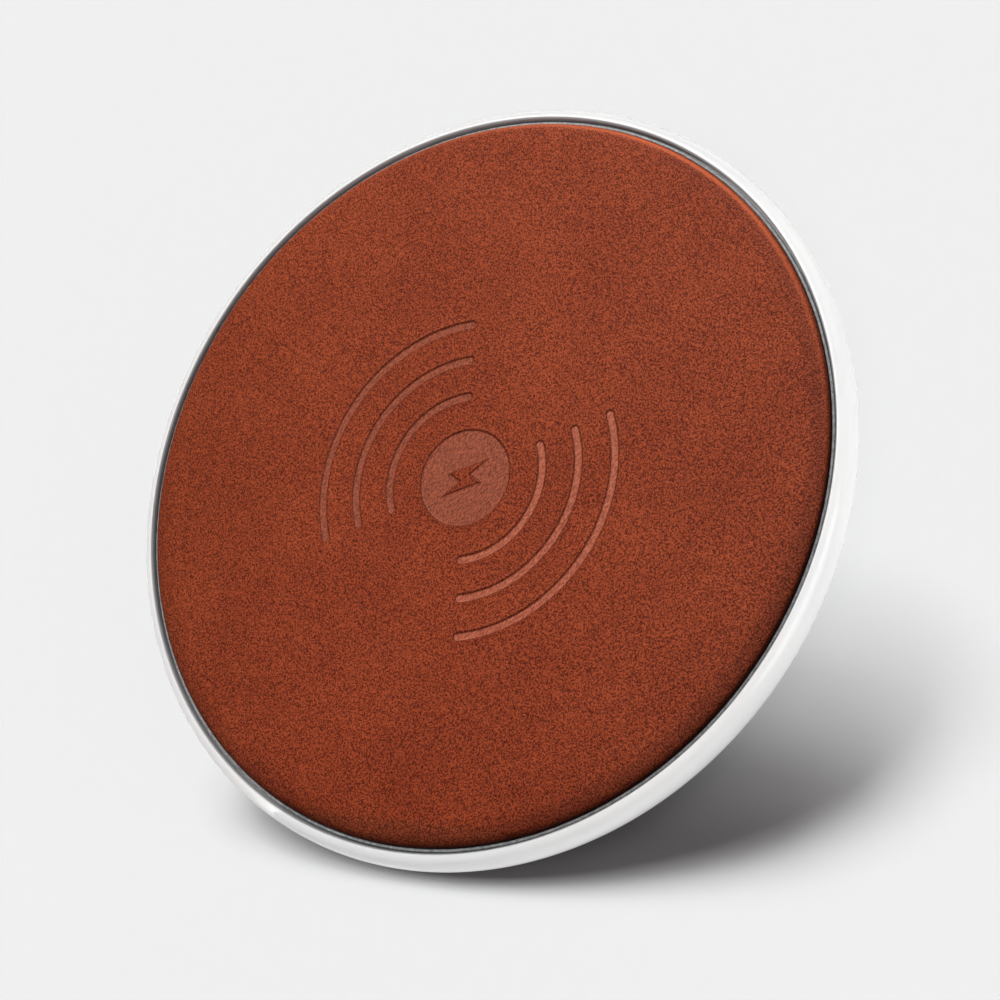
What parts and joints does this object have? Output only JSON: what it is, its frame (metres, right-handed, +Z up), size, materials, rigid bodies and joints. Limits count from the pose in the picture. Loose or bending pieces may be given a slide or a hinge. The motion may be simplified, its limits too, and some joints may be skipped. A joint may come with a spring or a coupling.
{
  "type": "wireless charging pad",
  "caption": "Round wireless charging pad: leather-covered disc in a glossy white rim, with coil, ferrite, board and power inlet inside.",
  "frame": {"origin": "middle of the surface that the pad stands on", "axes": "+Z up through the charging surface, +Y towards the power inlet, +X along the middle of the pressed signal arcs"},
  "size_m": [0.1, 0.1, 0.0084],
  "materials": {
    "leather": "aniline red-brown leather with fine grain and soft sheen",
    "backing_board": "dense fibre board",
    "tape": "double-sided adhesive tape",
    "trim_grey": "mottled grey, satin",
    "white_gloss": "glossy moulded white",
    "white_matt": "fine spark-eroded texture",
    "foot_rubber": "matt silicone rubber",
    "screw_steel": "nickel-plated",
    "circuit_board": "green solder mask",
    "copper_litz": "enamelled copper litz",
    "ferrite": "sintered dark grey",
    "foam": "closed-cell foam",
    "chip_black": "moulded epoxy",
    "capacitor_ceramic": "unglazed ceramic",
    "sensor_epoxy": "epoxy bead",
    "sensor_ribbon": "polyimide film",
    "lamp": "diffused lamp body",
    "light_window": "milky clear",
    "socket_steel": "tinned",
    "contact_gold": "gold flash"
  },
  "bodies": {
    "root": {"leather_top": "leather", "leather_board": "backing_board", "board_tape": "tape", "trim_ring": "trim_grey", "rim_shell": "white_gloss", "base_cover": "white_matt", "foot_ring": "foot_rubber", "case_screw_1": "screw_steel", "case_screw_2": "screw_steel", "case_screw_3": "screw_steel", "case_screw_4": "screw_steel", "transmit_coil": "copper_litz", "coil_lead_inner": "copper_litz", "coil_lead_outer": "copper_litz", "ferrite_disc": "ferrite", "coil_cushion": "foam", "thermistor": "sensor_epoxy", "thermistor_lead": "sensor_ribbon", "main_board": "circuit_board", "board_screw_1": "screw_steel", "board_screw_2": "screw_steel", "board_screw_3": "screw_steel", "controller_chip": "chip_black", "voltage_regulator": "chip_black", "sense_resistor": "chip_black", "power_inductor": "ferrite", "status_led": "lamp", "bridge_mosfet_1": "chip_black", "bridge_mosfet_2": "chip_black", "resonance_capacitor_1": "capacitor_ceramic", "resonance_capacitor_2": "capacitor_ceramic", "resonance_capacitor_3": "capacitor_ceramic", "resonance_capacitor_4": "capacitor_ceramic", "input_capacitor_1": "capacitor_ceramic", "input_capacitor_2": "capacitor_ceramic", "light_pipe": "light_window", "usb_shell": "socket_steel", "usb_insert": "chip_black", "usb_contact_1": "contact_gold", "usb_contact_2": "contact_gold", "usb_contact_3": "contact_gold", "usb_contact_4": "contact_gold", "usb_contact_5": "contact_gold"}
  },
  "joints": []
}
